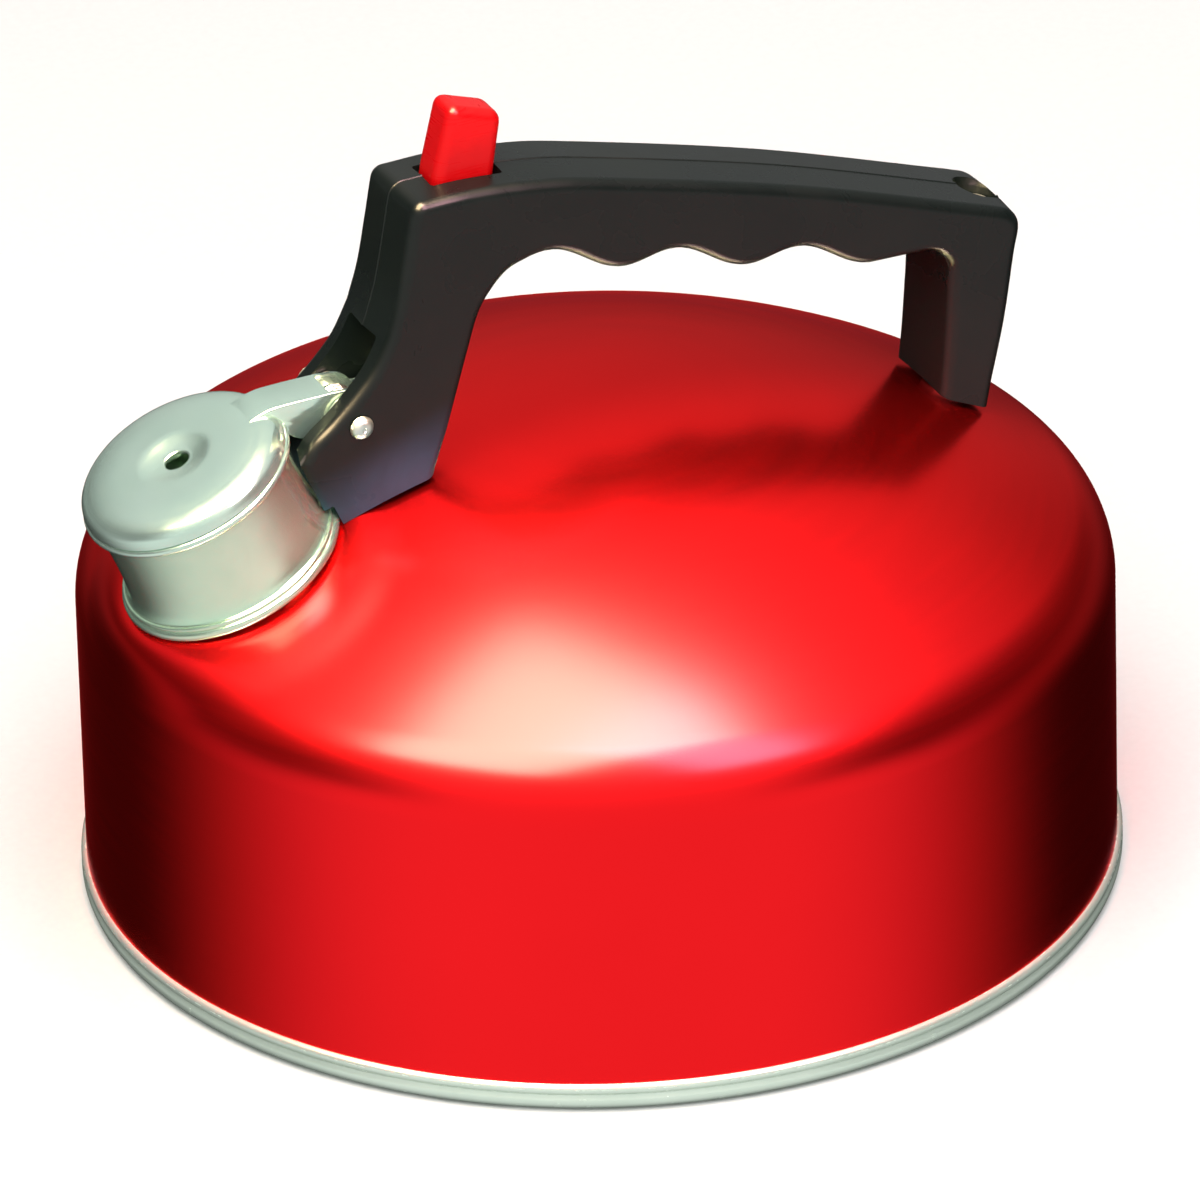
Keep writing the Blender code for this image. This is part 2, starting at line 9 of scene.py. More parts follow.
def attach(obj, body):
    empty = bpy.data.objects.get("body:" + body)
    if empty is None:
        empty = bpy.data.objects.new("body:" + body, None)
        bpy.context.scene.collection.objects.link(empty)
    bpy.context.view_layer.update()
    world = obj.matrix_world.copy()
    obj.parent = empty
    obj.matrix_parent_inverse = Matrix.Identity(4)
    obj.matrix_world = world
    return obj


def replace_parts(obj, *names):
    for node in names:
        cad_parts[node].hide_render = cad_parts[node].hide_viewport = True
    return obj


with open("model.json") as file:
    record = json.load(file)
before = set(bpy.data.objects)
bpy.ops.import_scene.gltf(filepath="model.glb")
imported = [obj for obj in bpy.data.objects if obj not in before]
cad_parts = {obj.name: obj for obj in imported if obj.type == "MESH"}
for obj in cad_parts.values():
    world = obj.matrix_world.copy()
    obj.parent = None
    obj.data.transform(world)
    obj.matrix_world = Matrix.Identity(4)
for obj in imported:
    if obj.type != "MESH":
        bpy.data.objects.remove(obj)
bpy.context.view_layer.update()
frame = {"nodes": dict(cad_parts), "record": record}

mm = 0.001  # the pieces and the camera are in millimetres, the floor and the lamps in metres
meshCare = {"merge": 2e-6, "sharpAngle": 35.0, "shadingWeight": 80, "mitreLimit": 0.3}


# Small helpers

def sRgb(code):
    # "#RRGGBB" to linear RGBA
    parts = [int(code[k:k + 2], 16) / 255 for k in (1, 3, 5)]
    return (*[c / 12.92 if c <= 0.04045 else ((c + 0.055) / 1.055) ** 2.4 for c in parts], 1.0)


def addNode(tree, kind, inputs=None, **settings):
    # a node with its settings; an input given as a socket is linked, anything else is its value
    node = tree.nodes.new(kind)
    for name, value in settings.items():
        setattr(node, name, value)
    for key, value in (inputs or {}).items():
        if isinstance(value, bpy.types.NodeSocket):
            tree.links.new(value, node.inputs[key])
        else:
            node.inputs[key].default_value = value
    return node


def arcPoints(centre, radius, start, stop, steps):
    angles = [math.radians(start + (stop - start) * k / steps) for k in range(steps + 1)]
    return [(centre[0] + radius * math.cos(a), centre[1] + radius * math.sin(a)) for a in angles]


def smoothLine(points, steps):
    # a smooth curve through every point, with straight-running ends
    first = tuple(2 * a - b for a, b in zip(points[0], points[1]))
    last = tuple(2 * a - b for a, b in zip(points[-1], points[-2]))
    ends = [first, *points, last]
    curve = []
    for a, b, c, d in zip(ends, ends[1:], ends[2:], ends[3:]):
        for k in range(steps):
            t = k / steps
            curve.append(tuple(
                0.5 * (2 * q + (r - p) * t + (2 * p - 5 * q + 4 * r - s) * t * t + (3 * q - p - 3 * r + s) * t ** 3)
                for p, q, r, s in zip(a, b, c, d)
            ))
    return curve + [points[-1]]


def standAt(place, lean):
    # stands Z at a place, leaning from upright towards +X, for meshes in millimetres
    return Matrix.Translation(place) @ Matrix.Rotation(math.radians(lean), 4, "Y")


def layAt(place):
    # lays Z along +Y at a place
    return Matrix.Translation(place) @ Matrix.Rotation(math.radians(-90), 4, "X")


def newPiece(name, points, faces, finish, place=None):
    # a mesh object at the origin whose points are given in millimetres in the frame of place
    mesh = bpy.data.meshes.new(name)
    place = place or Matrix.Identity(4)
    mesh.from_pydata([(place @ Vector(p)) * mm for p in points], [], faces)
    mesh.materials.append(finish)
    piece = bpy.data.objects.new(name, mesh)
    bpy.context.scene.collection.objects.link(piece)
    return piece


def cleanMesh(mesh):
    # doubles merged, faces turned outwards, and only true corners left sharp
    work = bmesh.new()
    work.from_mesh(mesh)
    bmesh.ops.remove_doubles(work, verts=work.verts, dist=meshCare["merge"])
    bmesh.ops.recalc_face_normals(work, faces=work.faces)
    work.to_mesh(mesh)
    work.free()
    mesh.shade_smooth()
    mesh.set_sharp_from_angle(angle=math.radians(meshCare["sharpAngle"]))


def settle(piece, weighted=False):
    # turns live modifiers into a plain mesh
    bpy.context.view_layer.update()
    evaluated = piece.evaluated_get(bpy.context.evaluated_depsgraph_get())
    plain = bpy.data.meshes.new_from_object(evaluated)
    piece.modifiers.clear()
    piece.data = plain
    cleanMesh(plain)
    if weighted:
        level = piece.modifiers.new("evenShading", "WEIGHTED_NORMAL")
        level.keep_sharp = True
        level.weight = meshCare["shadingWeight"]
    return piece


def combine(piece, tools, operation="DIFFERENCE"):
    # exact Booleans, then the tools are dropped
    for tool in tools:
        change = piece.modifiers.new(tool.name, "BOOLEAN")
        change.operation = operation
        change.solver = "EXACT"
        change.object = tool
    settle(piece)
    for tool in tools:
        bpy.data.objects.remove(tool, do_unlink=True)
    return piece


def prismPiece(name, outline, low, high, finish, place=None):
    # an outline in XZ drawn out along Y
    count = len(outline)
    points = [(x, y, z) for y in (low, high) for x, z in outline]
    faces = [(k, (k + 1) % count, (k + 1) % count + count, k + count) for k in range(count)]
    faces += [tuple(range(count)), tuple(range(count, 2 * count))]
    piece = newPiece(name, points, faces, finish, place)
    cleanMesh(piece.data)
    return piece


def plainRod(name, radius, low, high, place, finish, turns=48):
    # a rod along Z, for cuts and joins
    points = [
        (radius * math.cos(2 * math.pi * k / turns), radius * math.sin(2 * math.pi * k / turns), z)
        for z in (low, high) for k in range(turns)
    ]
    faces = [(k, (k + 1) % turns, (k + 1) % turns + turns, k + turns) for k in range(turns)]
    faces += [tuple(range(turns)), tuple(range(turns, 2 * turns))]
    rod = newPiece(name, points, faces, finish, place)
    cleanMesh(rod.data)
    return rod


def roundEdges(piece, width, segments, angle=60.0):
    # a live bevel on the edges that turn by more than the angle
    edge = piece.modifiers.new("roundEdges", "BEVEL")
    edge.width = width * mm
    edge.segments = segments
    edge.limit_method = "ANGLE"
    edge.angle_limit = math.radians(angle)
    return piece


# Turning on a lathe, as Geometry Nodes: an outline's points are read by their number and carried round the axis

def turnedTree(name, seat=False):
    tree = bpy.data.node_groups.new(name, "GeometryNodeTree")
    face = tree.interface
    sockets = [("Outline", "Geometry"), ("Outline Points", "Int"), ("Turns", "Int")]
    sockets += [("Place", "Vector"), ("Lean", "Vector"), ("Finish", "Material")]
    if seat:
        sockets += [("Outer Points", "Int"), ("Seat Foot", "Vector"), ("Seat Axis", "Vector")]
        sockets += [("Seat Reach", "Float"), ("Seat Blend", "Float"), ("Seat Side Blend", "Float")]
        sockets += [("Seat Depth", "Float"), ("Seat Saddle", "Float"), ("Sheet", "Float")]
    for label, kind in sockets:
        face.new_socket(label, in_out="INPUT", socket_type="NodeSocket" + kind)
    face.new_socket("Geometry", in_out="OUTPUT", socket_type="NodeSocketGeometry")
    given = addNode(tree, "NodeGroupInput").outputs
    count, turns = given["Outline Points"], given["Turns"]
    columns = addNode(tree, "ShaderNodeMath", {0: turns, 1: 1.0}, operation="ADD").outputs[0]
    sheet = addNode(tree, "GeometryNodeMeshGrid", {"Vertices X": columns, "Vertices Y": count})
    number = addNode(tree, "GeometryNodeInputIndex").outputs[0]
    along = addNode(tree, "ShaderNodeMath", {0: number, 1: count}, operation="FLOORED_MODULO").outputs[0]
    share = addNode(tree, "ShaderNodeMath", {0: number, 1: count}, operation="DIVIDE").outputs[0]
    column = addNode(tree, "ShaderNodeMath", {0: share}, operation="FLOOR").outputs[0]
    part = addNode(tree, "ShaderNodeMath", {0: column, 1: turns}, operation="DIVIDE").outputs[0]
    angle = addNode(tree, "ShaderNodeMath", {0: part, 1: 2 * math.pi}, operation="MULTIPLY").outputs[0]
    place = addNode(tree, "GeometryNodeInputPosition").outputs[0]
    read = addNode(tree, "GeometryNodeSampleIndex", data_type="FLOAT_VECTOR", domain="POINT")
    tree.links.new(given["Outline"], read.inputs["Geometry"])
    tree.links.new(place, read.inputs["Value"])
    tree.links.new(along, read.inputs["Index"])
    turned = addNode(
        tree, "ShaderNodeVectorRotate", {"Vector": read.outputs[0], "Angle": angle}, rotation_type="Z_AXIS"
    ).outputs[0]
    laid = addNode(tree, "GeometryNodeSetPosition", {"Geometry": sheet.outputs["Mesh"], "Position": turned})
    out = laid.outputs[0]
    if seat:
        # the round seat that is pressed square to the spout: a smooth step in distance from the spout's axis
        inside = addNode(tree, "ShaderNodeMath", {0: along, 1: given["Outer Points"]}, operation="GREATER_THAN")
        skin = addNode(tree, "ShaderNodeMath", {0: inside.outputs[0], 1: given["Sheet"]}, operation="MULTIPLY")
        depth = addNode(tree, "ShaderNodeMath", {0: given["Seat Depth"], 1: skin.outputs[0]}, operation="SUBTRACT")
        offset = addNode(tree, "ShaderNodeVectorMath", {0: place, 1: given["Seat Foot"]}, operation="SUBTRACT")
        axis = given["Seat Axis"]
        rise = addNode(tree, "ShaderNodeVectorMath", {0: offset.outputs[0], 1: axis}, operation="DOT_PRODUCT")
        height = rise.outputs["Value"]
        climb = addNode(tree, "ShaderNodeVectorMath", {0: axis, "Scale": height}, operation="SCALE")
        flat = addNode(tree, "ShaderNodeVectorMath", {
            0: offset.outputs[0], 1: climb.outputs[0],
        }, operation="SUBTRACT")
        away = addNode(tree, "ShaderNodeVectorMath", {0: flat.outputs[0]}, operation="LENGTH").outputs["Value"]
        across = addNode(tree, "ShaderNodeSeparateXYZ", {0: flat.outputs[0]}).outputs[1]
        aside = addNode(tree, "ShaderNodeMath", {0: across, 1: away}, operation="DIVIDE").outputs[0]
        aside = addNode(tree, "ShaderNodeMath", {0: aside, 1: aside}, operation="MULTIPLY").outputs[0]
        blend = addNode(tree, "ShaderNodeMath", {
            0: aside, 1: given["Seat Side Blend"], 2: given["Seat Blend"],
        }, operation="MULTIPLY_ADD").outputs[0]
        edge = addNode(tree, "ShaderNodeMath", {0: given["Seat Reach"], 1: blend}, operation="ADD")
        weight = addNode(tree, "ShaderNodeMapRange", {
            "Value": away, "From Min": edge.outputs[0], "From Max": given["Seat Reach"],
        }, interpolation_type="SMOOTHSTEP")
        sag = addNode(tree, "ShaderNodeMath", {0: across, 1: across}, operation="MULTIPLY").outputs[0]
        saddle = addNode(tree, "ShaderNodeMath", {
            0: sag, 1: given["Seat Saddle"], 2: height,
        }, operation="MULTIPLY_ADD").outputs[0]
        lift = addNode(tree, "ShaderNodeMath", {0: depth.outputs[0], 1: saddle}, operation="SUBTRACT")
        amount = addNode(tree, "ShaderNodeMath", {0: lift.outputs[0], 1: weight.outputs[0]}, operation="MULTIPLY")
        push = addNode(tree, "ShaderNodeVectorMath", {0: axis, "Scale": amount.outputs[0]}, operation="SCALE")
        out = addNode(tree, "GeometryNodeSetPosition", {"Geometry": out, "Offset": push.outputs[0]}).outputs[0]
    out = addNode(tree, "GeometryNodeMergeByDistance", {"Geometry": out, "Distance": meshCare["merge"]}).outputs[0]
    out = addNode(tree, "GeometryNodeTransform", {
        "Geometry": out, "Translation": given["Place"], "Rotation": given["Lean"],
    }).outputs[0]
    out = addNode(tree, "GeometryNodeRealizeInstances", {"Geometry": out}).outputs[0]
    out = addNode(tree, "GeometryNodeSetMaterial", {"Geometry": out, "Material": given["Finish"]}).outputs[0]
    addNode(tree, "NodeGroupOutput", {"Geometry": out})
    return tree


def giveTree(piece, tree, values):
    # a Geometry Nodes modifier whose inputs are set by the sockets' identifiers
    change = piece.modifiers.new(tree.name, "NODES")
    change.node_group = tree
    for item in tree.interface.items_tree:
        if item.item_type == "SOCKET" and item.in_out == "INPUT" and item.name in values:
            change[item.identifier] = values[item.name]
    return change


lathe = turnedTree("turned on a lathe")


def turnedPiece(name, outline, turns, finish, place=(0, 0, 0), lean=(0, 0, 0), tree=None, more=None):
    # the outline is a line of (radius, height); one that never meets the axis is closed on its first point
    if outline[0][0] > 1e-6:
        outline = [*outline, outline[0]]
    line = bpy.data.meshes.new(name)
    line.from_pydata([(r * mm, 0, z * mm) for r, z in outline], [(k, k + 1) for k in range(len(outline) - 1)], [])
    piece = bpy.data.objects.new(name, line)
    bpy.context.scene.collection.objects.link(piece)
    values = {
        "Outline Points": len(outline), "Turns": turns, "Place": Vector(place) * mm,
        "Lean": [math.radians(a) for a in lean], "Finish": finish, **(more or {}),
    }
    giveTree(piece, tree or lathe, values)
    settle(piece)
    for side in piece.data.polygons:
        side.material_index = 0
    piece.data.materials.clear()  # the tree's result may carry an empty slot before its own
    piece.data.materials.append(finish)
    return piece


# Finishes

def newFinish(name):
    finish = bpy.data.materials.new(name)
    finish.use_nodes = True
    return finish, finish.node_tree, finish.node_tree.nodes["Principled BSDF"]


def setShader(shader, **values):
    for name, value in values.items():
        shader.inputs[name.replace("_", " ")].default_value = value


def linkLooks(tree, shader, tint, rough, bump):
    tree.links.new(tint.outputs["Result"], shader.inputs["Base Color"])
    tree.links.new(rough.outputs[0], shader.inputs["Roughness"])
    tree.links.new(bump.outputs[0], shader.inputs["Normal"])


def bakedLacquer():
    # translucent red lacquer, sprayed and baked over drawn bright steel: deep wet red, wide soft reflections
    finish, tree, shader = newFinish("red lacquer sprayed and baked on drawn steel")
    setShader(shader, Metallic=1.0, Coat_Weight=0.18, Coat_Roughness=0.25, Coat_IOR=1.6)
    shader.inputs["Specular Tint"].default_value = (0.9, 0.01, 0.12, 1.0)  # the film keeps its red at grazing angles
    place = addNode(tree, "ShaderNodeTexCoord").outputs["Object"]
    cloud = addNode(tree, "ShaderNodeTexNoise", {"Vector": place, "Scale": 22.0, "Detail": 3.0})  # 45 mm film drift
    tint = addNode(tree, "ShaderNodeMix", {
        "Factor": cloud.outputs[0], "A": sRgb("#F00711"), "B": sRgb("#FA0A15"),
    }, data_type="RGBA")
    peel = addNode(tree, "ShaderNodeTexNoise", {"Vector": place, "Scale": 420.0, "Detail": 2.0})  # 2.4 mm orange peel
    squash = addNode(tree, "ShaderNodeMapping", {"Vector": place, "Scale": (1.0, 1.0, 26.0)})
    lines = addNode(tree, "ShaderNodeTexNoise", {"Vector": squash.outputs[0], "Scale": 40.0, "Detail": 4.0})
    rough = addNode(tree, "ShaderNodeMapRange", {
        "Value": lines.outputs[0], "From Min": 0.3, "From Max": 0.7, "To Min": 0.222, "To Max": 0.24,
    })  # 1 mm drawing lines round the wall, under the film
    bump = addNode(tree, "ShaderNodeBump", {"Height": peel.outputs[0], "Strength": 0.25, "Distance": 0.00002})
    linkLooks(tree, shader, tint, rough, bump)
    tree.links.new(bump.outputs[0], shader.inputs["Coat Normal"])
    return finish


def spunSteel(name, place, lean, colours, roughness, spacing=0.5, metallic=1.0):
    # bright sheet spun and polished on a lathe: pale greenish mirror, softened by rings round its axis
    finish, tree, shader = newFinish(name)
    setShader(shader, Metallic=metallic)
    spot = addNode(tree, "ShaderNodeTexCoord").outputs["Object"]
    level = addNode(tree, "ShaderNodeMapping", {
        "Vector": spot, "Location": Vector(place) * mm, "Rotation": (0, math.radians(lean), 0),
    }, vector_type="TEXTURE")
    parts = addNode(tree, "ShaderNodeSeparateXYZ", {0: level.outputs[0]}).outputs
    flat = addNode(tree, "ShaderNodeCombineXYZ", {0: parts[0], 1: parts[1]})
    radius = addNode(tree, "ShaderNodeVectorMath", {0: flat.outputs[0]}, operation="LENGTH").outputs["Value"]
    spread = addNode(tree, "ShaderNodeMath", {0: radius, 1: parts[2]}, operation="ADD").outputs[0]
    rings = addNode(tree, "ShaderNodeTexNoise", {
        "W": spread, "Scale": 1 / (spacing * mm), "Detail": 3.0, "Roughness": 0.65,
    }, noise_dimensions="1D")
    grain = addNode(tree, "ShaderNodeTexNoise", {"Vector": spot, "Scale": 300.0, "Detail": 2.0})  # 3 mm handling
    cloud = addNode(tree, "ShaderNodeTexNoise", {"Vector": spot, "Scale": 70.0, "Detail": 4.0})  # 14 mm wiping marks
    tint = addNode(tree, "ShaderNodeMix", {
        "Factor": cloud.outputs[0], "A": sRgb(colours[0]), "B": sRgb(colours[1]),
    }, data_type="RGBA")
    mixed = addNode(tree, "ShaderNodeMath", {0: rings.outputs[0], 1: grain.outputs[0]}, operation="ADD")
    rough = addNode(tree, "ShaderNodeMapRange", {
        "Value": mixed.outputs[0], "From Min": 0.7, "From Max": 1.3, "To Min": roughness[0], "To Max": roughness[1],
    })
    bump = addNode(tree, "ShaderNodeBump", {"Height": rings.outputs[0], "Strength": 0.04, "Distance": 0.00002})
    linkLooks(tree, shader, tint, rough, bump)
    return finish


def platedSteel(name, colours, roughness):
    # zinc-plated or plain bright wire and strip: grey, with the matt bloom that handling leaves
    finish, tree, shader = newFinish(name)
    setShader(shader, Metallic=1.0)
    spot = addNode(tree, "ShaderNodeTexCoord").outputs["Object"]
    cloud = addNode(tree, "ShaderNodeTexNoise", {"Vector": spot, "Scale": 700.0, "Detail": 4.0})  # 1.4 mm bloom
    tint = addNode(tree, "ShaderNodeMix", {
        "Factor": cloud.outputs[0], "A": sRgb(colours[0]), "B": sRgb(colours[1]),
    }, data_type="RGBA")
    rough = addNode(tree, "ShaderNodeMapRange", {
        "Value": cloud.outputs[0], "From Min": 0.3, "From Max": 0.7, "To Min": roughness[0], "To Max": roughness[1],
    })
    bump = addNode(tree, "ShaderNodeBump", {"Height": cloud.outputs[0], "Strength": 0.3, "Distance": 0.00003})
    linkLooks(tree, shader, tint, rough, bump)
    return finish


def blackPhenolic():
    # black phenolic, compression moulded and buffed: green-black, a soft gloss, a painted bluish sheen low on the
    # front leg
    finish, tree, shader = newFinish("black phenolic moulded and buffed")
    setShader(shader, IOR=1.5, Specular_IOR_Level=0.16, Coat_Weight=0.08, Coat_Roughness=0.1, Coat_IOR=1.5)
    spot = addNode(tree, "ShaderNodeTexCoord").outputs["Object"]
    flow = addNode(tree, "ShaderNodeTexNoise", {"Vector": spot, "Scale": 60.0, "Detail": 4.0, "Distortion": 0.6})
    tint = addNode(tree, "ShaderNodeMix", {
        "Factor": flow.outputs[0], "A": sRgb("#0F1513"), "B": sRgb("#161E1B"),
    }, data_type="RGBA")
    parts = addNode(tree, "ShaderNodeSeparateXYZ", {0: spot}).outputs
    # painted sheen: a bluish reflection painted into the base colour, below a slanting line low on the leg and towards
    # its front
    fall = addNode(tree, "ShaderNodeMath", {0: parts[0], 1: -0.35, 2: parts[2]}, operation="MULTIPLY_ADD").outputs[0]
    low = addNode(tree, "ShaderNodeMapRange", {
        "Value": fall, "From Min": 0.124, "From Max": 0.109, "To Min": 0.0, "To Max": 1.3,
    }, interpolation_type="SMOOTHSTEP")  # none above a slanting line on the leg, all of it 15 mm lower
    front = addNode(tree, "ShaderNodeMapRange", {"Value": parts[0], "From Min": -0.02, "From Max": -0.04})
    paintedSheenPlace = addNode(tree, "ShaderNodeMath", {0: low.outputs[0], 1: front.outputs[0]}, operation="MULTIPLY")
    paintedSheenMask = addNode(tree, "ShaderNodeMath", {0: paintedSheenPlace.outputs[0], 1: flow.outputs[0]}, operation="MULTIPLY")
    paintedSheen = addNode(tree, "ShaderNodeMix", {
        "Factor": paintedSheenMask.outputs[0], "A": tint.outputs["Result"], "B": sRgb("#245E78"),
    }, data_type="RGBA")
    speck = addNode(tree, "ShaderNodeTexNoise", {"Vector": spot, "Scale": 1900.0, "Detail": 3.0})  # 0.5 mm filler
    rough = addNode(tree, "ShaderNodeMapRange", {
        "Value": flow.outputs[0], "From Min": 0.3, "From Max": 0.7, "To Min": 0.24, "To Max": 0.34,
    })
    bump = addNode(tree, "ShaderNodeBump", {"Height": speck.outputs[0], "Strength": 0.25, "Distance": 0.00003})
    linkLooks(tree, shader, paintedSheen, rough, bump)
    return finish


def redUrea():
    # red urea resin, moulded and polished: glowing opaque red with a pinkish sheen and faint rubbed scratches
    finish, tree, shader = newFinish("red urea resin moulded and polished")
    setShader(shader, IOR=1.5, Specular_IOR_Level=0.2, Subsurface_Weight=0.15, Subsurface_Scale=0.002)
    shader.inputs["Subsurface Radius"].default_value = (1.0, 0.25, 0.2)
    spot = addNode(tree, "ShaderNodeTexCoord").outputs["Object"]
    cloud = addNode(tree, "ShaderNodeTexNoise", {"Vector": spot, "Scale": 160.0, "Detail": 3.0})
    tint = addNode(tree, "ShaderNodeMix", {
        "Factor": cloud.outputs[0], "A": sRgb("#D60007"), "B": sRgb("#E6020C"),
    }, data_type="RGBA")
    drag = addNode(tree, "ShaderNodeMapping", {
        "Vector": spot, "Rotation": (0.0, 0.35, 0.0), "Scale": (1.0, 1.0, 14.0),
    })
    rubs = addNode(tree, "ShaderNodeTexNoise", {"Vector": drag.outputs[0], "Scale": 150.0, "Detail": 4.0})
    rough = addNode(tree, "ShaderNodeMapRange", {
        "Value": rubs.outputs[0], "From Min": 0.35, "From Max": 0.7, "To Min": 0.26, "To Max": 0.36,
    })  # 0.5 mm rub marks across the faces
    bump = addNode(tree, "ShaderNodeBump", {"Height": rubs.outputs[0], "Strength": 0.03, "Distance": 0.00002})
    linkLooks(tree, shader, tint, rough, bump)
    return finish


spoutPlace = {"foot": (-75.4, 0.0, 83.1), "lean": 24.0}  # centre of the rolled flange, and the lean to the front

lacquer = bakedLacquer()
panSteel = spunSteel(
    "bright steel rolled and polished", (0, 0, 0), 0,
    ("#C4D6C6", "#D6E4D6"), (0.22, 0.28), metallic=0.45,
)
spoutSteel = spunSteel(
    "bright steel spun and polished", spoutPlace["foot"], -spoutPlace["lean"],
    ("#ACCFB4", "#C6E1CA"), (0.09, 0.13), metallic=0.75,
)
capSteel = spunSteel(
    "bright steel pressed and polished", spoutPlace["foot"], -spoutPlace["lean"],
    ("#B6D3C2", "#D0E6D8"), (0.14, 0.19), spacing=0.8, metallic=0.75,
)
zinc = platedSteel("steel zinc plated and dulled", ("#B9C2BC", "#DDE3DC"), (0.28, 0.42))
springSteel = platedSteel("spring steel drawn and oiled", ("#6E7072", "#8F9294"), (0.25, 0.4))
phenolic = blackPhenolic()
buttonRed = redUrea()
print("finishes made")


# The body: one drawn shell with a dome, a rolled shoulder, an upright wall and a pressed seat for the spout

bodySizes = {
    "wallRadius": 99.0, "sheet": 0.8, "seamFoot": 1.8, "shoulderHeight": 59.2, "shoulderRadius": 16.3,
    "shoulderTurn": 59.0, "turns": 300, "domeSteps": 56, "shoulderSteps": 22, "wallSteps": 8,
    "seatReach": 22.6, "seatBlend": 8.2, "seatSideBlend": 9.0,  # the flat, its blend, and what that gains at the sides
    "seatDepth": -1.3, "seatSaddle": 0.0015,  # height of the flat, and its sag at the sides
    "mouth": 19.8, "mouthTurns": 96,
}
shoulderTurn = math.radians(bodySizes["shoulderTurn"])
domeEdge = bodySizes["wallRadius"] - bodySizes["shoulderRadius"] * (1 - math.cos(shoulderTurn))
domeRadius = domeEdge / math.cos(shoulderTurn)
domeCentre = bodySizes["shoulderHeight"] + (bodySizes["shoulderRadius"] - domeRadius) * math.sin(shoulderTurn)
spoutAxis = Vector((-math.sin(math.radians(spoutPlace["lean"])), 0.0, math.cos(math.radians(spoutPlace["lean"]))))
spoutFrame = standAt(Vector(spoutPlace["foot"]), -spoutPlace["lean"])


def shellLine(inset):
    # from the apex down to the seam
    s = bodySizes
    middle = (s["wallRadius"] - s["shoulderRadius"], s["shoulderHeight"])
    dome = arcPoints((0.0, domeCentre), domeRadius - inset, 90, s["shoulderTurn"], s["domeSteps"])
    shoulder = arcPoints(middle, s["shoulderRadius"] - inset, s["shoulderTurn"], 0, s["shoulderSteps"])
    steps = s["wallSteps"]
    drop = s["shoulderHeight"] - s["seamFoot"]
    wall = [(s["wallRadius"] - inset, s["shoulderHeight"] - drop * k / steps) for k in range(1, steps + 1)]
    return dome + shoulder[1:] + wall


outerLine, innerLine = shellLine(0.0), shellLine(bodySizes["sheet"])
kettleBody = turnedPiece(
    "kettleBody", outerLine + innerLine[::-1], bodySizes["turns"], lacquer,
    tree=turnedTree("drawn kettle body", seat=True),
    more={
        "Outer Points": len(outerLine) - 1, "Seat Foot": Vector(spoutPlace["foot"]) * mm, "Seat Axis": spoutAxis,
        "Seat Reach": bodySizes["seatReach"] * mm, "Seat Blend": bodySizes["seatBlend"] * mm,
        "Seat Side Blend": bodySizes["seatSideBlend"] * mm, "Seat Depth": bodySizes["seatDepth"] * mm,
        "Seat Saddle": bodySizes["seatSaddle"] / mm, "Sheet": bodySizes["sheet"] * mm,
    },
)


mouthCut = plainRod("cutMouth", bodySizes["mouth"], -12, 8, spoutFrame, lacquer, bodySizes["mouthTurns"])
combine(kettleBody, [mouthCut])
kettleBody.data.materials.append(panSteel)  # the inside is bare
middleLine = Vector((0, 0, domeCentre * mm))
for side in kettleBody.data.polygons:
    onDome = side.center.z > bodySizes["shoulderHeight"] * mm
    outwards = side.center - middleLine if onDome else Vector((side.center.x, side.center.y, 0))
    side.material_index = 1 if side.normal.dot(outwards) < 0 else 0
kettleBody.visible_glossy = False  # left out of the other pieces' reflections, so steel and handle stay free of red
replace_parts(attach(kettleBody, "kettle"), "body_shell")
print("body turned", len(kettleBody.data.polygons))


# The base: a pan whose rim is rolled up round the foot of the wall, with a groove between its two rolls

baseSizes = {"radius": 100.0, "wall": 99.3, "inside": 97.9, "turns": 300, "sheet": 0.8}


def baseLine():
    s = baseSizes
    low = [(0.0, 0.25), (30.0, 0.25), (31.0, 0.0), (34.0, 0.0), (35.0, 0.25), (62.0, 0.25), (63.0, 0.0), (66.0, 0.0)]
    low += [(67.0, 0.25), (88.0, 0.25), (89.0, 0.0), (97.0, 0.0)]
    roll = arcPoints((s["radius"] - 2.2, 2.2), 2.2, -75, 12, 9)
    groove = [(s["radius"] - 0.32, 3.05), (s["radius"] - 0.32, 3.25)]
    bead = arcPoints((s["radius"] - 1.15, 4.4), 1.15, -52, 90, 9)
    lip = [(s["wall"] - 0.1, 5.5), (s["wall"], 5.0), (s["wall"], 1.5), (s["inside"], 1.5), (s["inside"], 4.2)]
    inner = [(s["inside"] - s["sheet"], 4.2), (s["inside"] - s["sheet"] - 0.6, s["sheet"]), (0.0, s["sheet"])]
    return low + roll + groove + bead + lip + inner


baseRing = turnedPiece("basePan", baseLine(), baseSizes["turns"], panSteel)
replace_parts(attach(baseRing, "kettle"), "base_pan")
print("base rolled")


# The spout: a spun tube, slightly waisted, on a flange with two rolled rings

spoutSizes = {"bore": 18.6, "top": 22.4, "flange": 22.2, "turns": 160}


def spoutLine():
    bore, top, flange = spoutSizes["bore"], spoutSizes["top"], spoutSizes["flange"]
    mouth = arcPoints((bore + 0.55, top - 0.55), 0.55, 150, -35, 8)
    tube = smoothLine([
        (bore + 0.92, top - 1.3), (bore + 0.82, 17.5), (bore + 0.8, 12.0), (bore + 1.0, 7.0), (bore + 1.45, 3.6),
        (bore + 1.95, 2.2), (bore + 2.25, 1.75),
    ], 5)
    ring = arcPoints((bore + 2.55, 1.3), 0.42, 110, 10, 5)
    roll = arcPoints((flange - 1.0, -0.15), 1.0, 75, -90, 8)
    under = [(bore + 0.9, -1.2), (bore + 0.9, -2.8), (bore + 1.9, -2.9), (bore + 2.1, -3.3), (bore + 1.7, -3.7)]
    return mouth + tube + ring + roll + under + [(bore, -3.7), (bore, top - 0.6)]


spoutTube = turnedPiece(
    "spoutTube", spoutLine(), spoutSizes["turns"], spoutSteel, spoutPlace["foot"], (0, -spoutPlace["lean"], 0)
)
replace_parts(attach(spoutTube, "kettle"), "spout")
print("spout spun")


